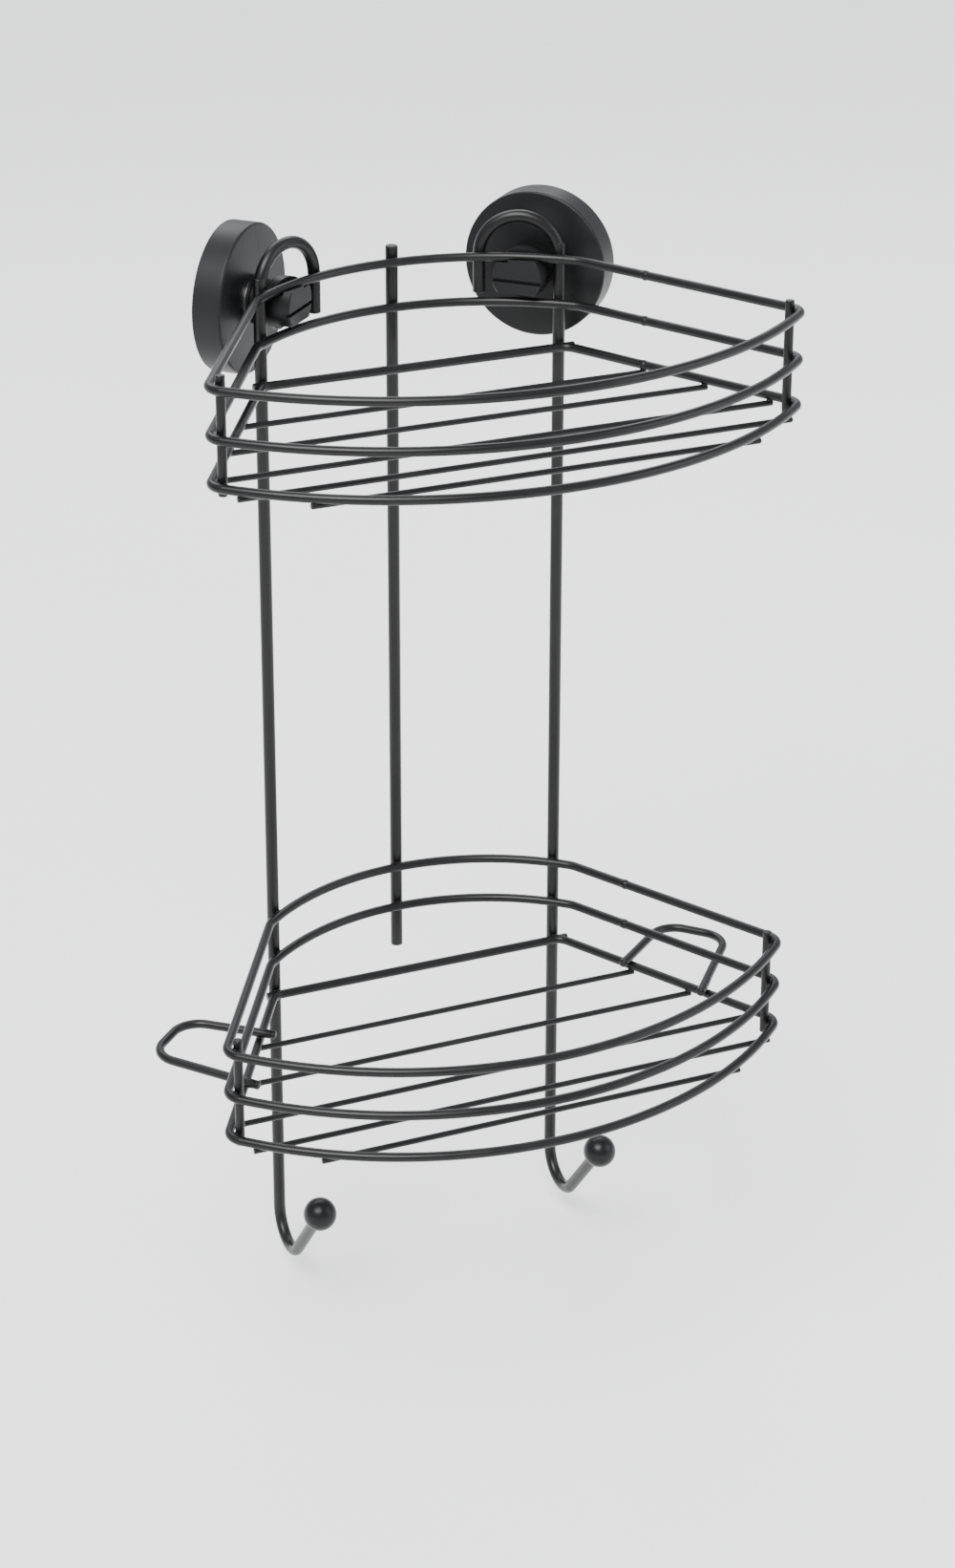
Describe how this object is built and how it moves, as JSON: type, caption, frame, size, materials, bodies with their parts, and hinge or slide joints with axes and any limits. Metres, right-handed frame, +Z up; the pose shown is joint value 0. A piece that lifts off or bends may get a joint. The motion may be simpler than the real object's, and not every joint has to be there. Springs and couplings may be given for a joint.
{
  "type": "shower caddy",
  "caption": "Black wire corner shower caddy: upper and lower basket on uprights that end in J hooks, hung on screw-down suction holders.",
  "frame": {"origin": "midway between the two suction faces, level with the axes of the wall holders; the line where the walls meet is 75.44 mm behind it", "axes": "+Z up; -Y out of the corner into the room; +X to the right of someone facing the corner; the walls run along (-1,-1) and (1,-1)"},
  "size_m": [0.2784, 0.2194, 0.4897],
  "materials": {
    "powder_coated_wire": "satin powder coat",
    "ball_plastic": "satin",
    "cover_plastic": "satin",
    "nut_plastic": "satin",
    "head_plastic": "satin",
    "plate_plastic": "matt",
    "cup_rubber": "soft, slightly glossy",
    "stud_steel": "plated",
    "washer_steel": "plated"
  },
  "bodies": {
    "wall_fixings": {"left_suction_cup": "cup_rubber", "left_anchor_plate": "plate_plastic", "left_threaded_stud": "stud_steel", "left_holder_head": "head_plastic", "right_suction_cup": "cup_rubber", "right_anchor_plate": "plate_plastic", "right_threaded_stud": "stud_steel", "right_holder_head": "head_plastic"},
    "rack": {"left_upright": "powder_coated_wire", "right_upright": "powder_coated_wire", "centre_upright": "powder_coated_wire", "left_hook_ball": "ball_plastic", "right_hook_ball": "ball_plastic", "upper_top_ring": "powder_coated_wire", "upper_middle_ring": "powder_coated_wire", "upper_bottom_ring": "powder_coated_wire", "upper_left_post": "powder_coated_wire", "upper_right_post": "powder_coated_wire", "upper_floor_wire_1": "powder_coated_wire", "upper_floor_wire_2": "powder_coated_wire", "upper_floor_wire_3": "powder_coated_wire", "upper_floor_wire_4": "powder_coated_wire", "upper_floor_wire_5": "powder_coated_wire", "lower_top_ring": "powder_coated_wire", "lower_middle_ring": "powder_coated_wire", "lower_bottom_ring": "powder_coated_wire", "lower_left_post": "powder_coated_wire", "lower_right_post": "powder_coated_wire", "lower_floor_wire_1": "powder_coated_wire", "lower_floor_wire_2": "powder_coated_wire", "lower_floor_wire_3": "powder_coated_wire", "lower_floor_wire_4": "powder_coated_wire", "lower_floor_wire_5": "powder_coated_wire", "left_wall_spacer": "powder_coated_wire", "right_wall_spacer": "powder_coated_wire"},
    "left_cover": {"left_pressure_cover": "cover_plastic", "left_thrust_washer": "washer_steel"},
    "left_nut": {"left_lock_nut": "nut_plastic"},
    "right_cover": {"right_pressure_cover": "cover_plastic", "right_thrust_washer": "washer_steel"},
    "right_nut": {"right_lock_nut": "nut_plastic"}
  },
  "joints": [
    {"name": "rack_lift", "type": "slide", "parent": "wall_fixings", "child": "rack", "axis": [0, 0, 1], "range_m": [0, 0.0019]},
    {"name": "left_cover_slide", "type": "slide", "parent": "wall_fixings", "child": "left_cover", "axis": [0.7071, -0.7071, 0], "range_m": [0, 0.002]},
    {"name": "left_nut_turn", "type": "hinge", "parent": "left_cover", "child": "left_nut", "pos_m": [-0.07544, 0, 0], "axis": [0.7071, -0.7071, 0], "range_deg": [0, 480]},
    {"name": "right_cover_slide", "type": "slide", "parent": "wall_fixings", "child": "right_cover", "axis": [-0.7071, -0.7071, 0], "range_m": [0, 0.002]},
    {"name": "right_nut_turn", "type": "hinge", "parent": "right_cover", "child": "right_nut", "pos_m": [0.07544, 0, 0], "axis": [-0.7071, -0.7071, 0], "range_deg": [0, 480]}
  ],
  "couplings": [
    {"joint": "left_nut_turn", "follows": "left_cover_slide", "rad_per_m": 4188.8},
    {"joint": "right_nut_turn", "follows": "right_cover_slide", "rad_per_m": 4188.8}
  ]
}
